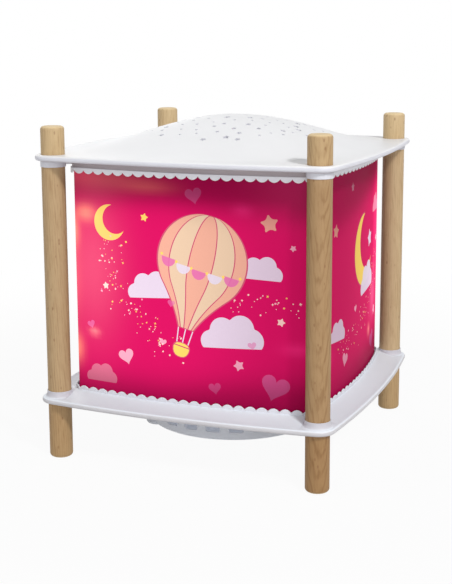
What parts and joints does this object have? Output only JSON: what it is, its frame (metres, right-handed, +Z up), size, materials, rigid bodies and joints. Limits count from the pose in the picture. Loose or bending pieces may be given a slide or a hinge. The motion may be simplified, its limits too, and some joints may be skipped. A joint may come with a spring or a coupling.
{
  "type": "night light lantern",
  "caption": "Square night light lantern: wooden corner posts, domed perforated roof, scalloped edging, printed film shade, a spinning printed drum on a needle, and a twist-off lamp unit.",
  "frame": {"origin": "on the surface that the posts stand on, under the middle of the lantern", "axes": "+Z up along the drum's axis; the main printed front faces -Y and the other visible side faces +X"},
  "size_m": [0.1736, 0.1736, 0.1826],
  "materials": {
    "beech": "fine sanded beech, oiled, with short brown flecks along the grain",
    "white_moulding": "satin moulded white plastic",
    "white_housing": "fine matt moulded white plastic",
    "shade_print": "translucent printed plastic film, satin",
    "drum_print": "clear printed plastic film",
    "steel": "bright drawn steel",
    "turbine_aluminium": "thin satin aluminium",
    "brass": "turned brass",
    "holder_ceramic": "unglazed white steatite",
    "bulb_glass": "clear quartz glass",
    "black_plastic": "moulded black plastic",
    "rocker_plastic": "polished white plastic",
    "lead_red": "soft insulation",
    "lead_black": "soft insulation"
  },
  "bodies": {
    "lantern_frame": {"front_right_post": "beech", "front_left_post": "beech", "back_left_post": "beech", "back_right_post": "beech", "base_plate": "white_moulding", "roof": "white_moulding", "base_scalloped_band": "white_moulding", "roof_scalloped_band": "white_moulding", "shade_film": "shade_print", "needle_yoke": "steel", "pivot_needle": "steel"},
    "drum": {"drum_film": "drum_print", "drum_hoop": "white_moulding", "drum_turbine": "turbine_aluminium", "pivot_cup": "brass"},
    "lamp_unit": {"lamp_housing": "white_housing", "lamp_deck": "white_housing", "deck_screw_1": "steel", "deck_screw_2": "steel", "deck_screw_3": "steel", "lamp_stem": "turbine_aluminium", "stem_screw_1": "steel", "stem_screw_2": "steel", "lamp_holder": "holder_ceramic", "bulb_glass": "bulb_glass", "bulb_pin_1": "steel", "bulb_pin_2": "steel", "power_inlet": "black_plastic", "switch_frame": "white_housing", "inlet_lead": "lead_red", "switch_lead": "lead_black", "bridge_lead": "lead_red"},
    "rocker": {"switch_rocker": "rocker_plastic"}
  },
  "joints": [
    {"name": "drum_spin", "type": "hinge", "parent": "lantern_frame", "child": "drum", "pos_m": [0, 0, 0.1479], "axis": [0, 0, 1], "continuous": true},
    {"name": "lamp_unit_twist", "type": "hinge", "parent": "lantern_frame", "child": "lamp_unit", "pos_m": [0, 0, 0.034], "axis": [0, 0, 1], "range_deg": [0, 24]},
    {"name": "switch_rock", "type": "hinge", "parent": "lamp_unit", "child": "rocker", "pos_m": [-0.01683, 0.04889, 0.0205], "axis": [0, 0, 1], "range_deg": [-14, 0]}
  ]
}
